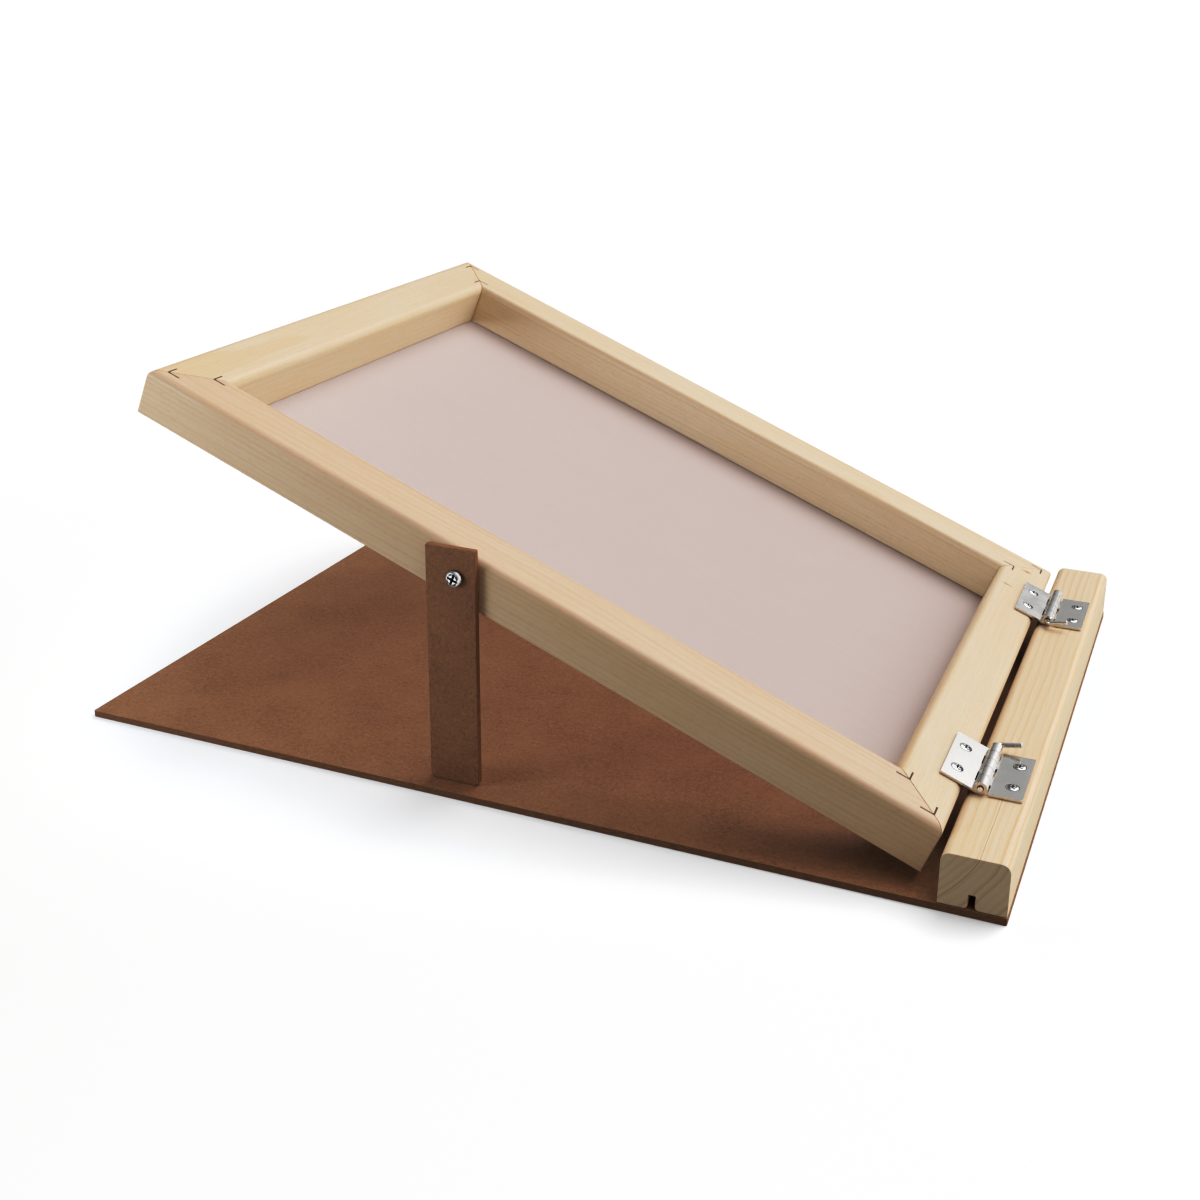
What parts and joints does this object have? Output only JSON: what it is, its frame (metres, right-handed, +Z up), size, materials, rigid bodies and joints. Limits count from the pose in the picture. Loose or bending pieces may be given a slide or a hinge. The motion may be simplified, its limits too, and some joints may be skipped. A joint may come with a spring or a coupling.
{
  "type": "screen printing frame",
  "caption": "Hinged wooden screen printing frame with stretched mesh, on a hardboard base, held open by a swinging prop leg.",
  "frame": {"origin": "centre of the base board's underside, on the table", "axes": "+X along the base towards the hinge bar, +Y away from the side with the prop leg, +Z up"},
  "size_m": [0.4524, 0.3384, 0.1795],
  "materials": {
    "pale_pine": "bare sanded pine, fine straight grain",
    "hardboard": "brown pressed hardboard, smooth face, fine fibre speckle",
    "dark_hardboard": "darker tempered hardboard",
    "nickel_plate": "bright nickel plate",
    "zinc_plate": "bright zinc plate",
    "dark_steel": "dark sheet steel seen on edge",
    "screen_fabric": "fine monofilament mesh, stretched flat",
    "cotton_cord": "braided cord"
  },
  "bodies": {
    "base": {"base_board": "hardboard", "hinge_bar": "pale_pine", "hinge_leaf_bar_front": "nickel_plate", "hinge_screw_bar_front_1": "zinc_plate", "hinge_screw_bar_front_2": "zinc_plate", "hinge_leaf_bar_back": "nickel_plate", "hinge_screw_bar_back_1": "zinc_plate", "hinge_screw_bar_back_2": "zinc_plate", "base_screw_1": "zinc_plate", "base_screw_2": "zinc_plate", "base_screw_3": "zinc_plate", "base_screw_4": "zinc_plate"},
    "screen_frame": {"side_rail_front": "pale_pine", "side_rail_back": "pale_pine", "end_rail_free": "pale_pine", "end_rail_hinge": "pale_pine", "v_nail_front_free_outer": "dark_steel", "v_nail_front_free_inner": "dark_steel", "v_nail_back_free_outer": "dark_steel", "v_nail_back_free_inner": "dark_steel", "v_nail_front_hinge_outer": "dark_steel", "v_nail_front_hinge_inner": "dark_steel", "v_nail_back_hinge_outer": "dark_steel", "v_nail_back_hinge_inner": "dark_steel", "screen_mesh": "screen_fabric", "screen_cord": "cotton_cord", "hinge_leaf_frame_front": "nickel_plate", "hinge_screw_frame_front_1": "zinc_plate", "hinge_screw_frame_front_2": "zinc_plate", "hinge_leaf_frame_back": "nickel_plate", "hinge_screw_frame_back_1": "zinc_plate", "hinge_screw_frame_back_2": "zinc_plate", "prop_screw": "zinc_plate"},
    "prop_leg": {"prop_leg": "dark_hardboard"},
    "pin_front": {"hinge_pin_front": "nickel_plate"},
    "pin_back": {"hinge_pin_back": "nickel_plate"}
  },
  "joints": [
    {"name": "frame_hinge", "type": "hinge", "parent": "base", "child": "screen_frame", "pos_m": [0.20385, 0, 0.0302], "axis": [0, 1, 0], "range_deg": [0, 158.4]},
    {"name": "prop_leg_pivot", "type": "hinge", "parent": "screen_frame", "child": "prop_leg", "pos_m": [-0.02502, -0.1584, 0.10436], "axis": [0, 1, 0], "range_deg": [0, 111.6]},
    {"name": "pin_front_slide", "type": "slide", "parent": "base", "child": "pin_front", "axis": [0, 1, 0], "range_m": [0, 0.042]},
    {"name": "pin_back_slide", "type": "slide", "parent": "base", "child": "pin_back", "axis": [0, -1, 0], "range_m": [0, 0.042]}
  ]
}
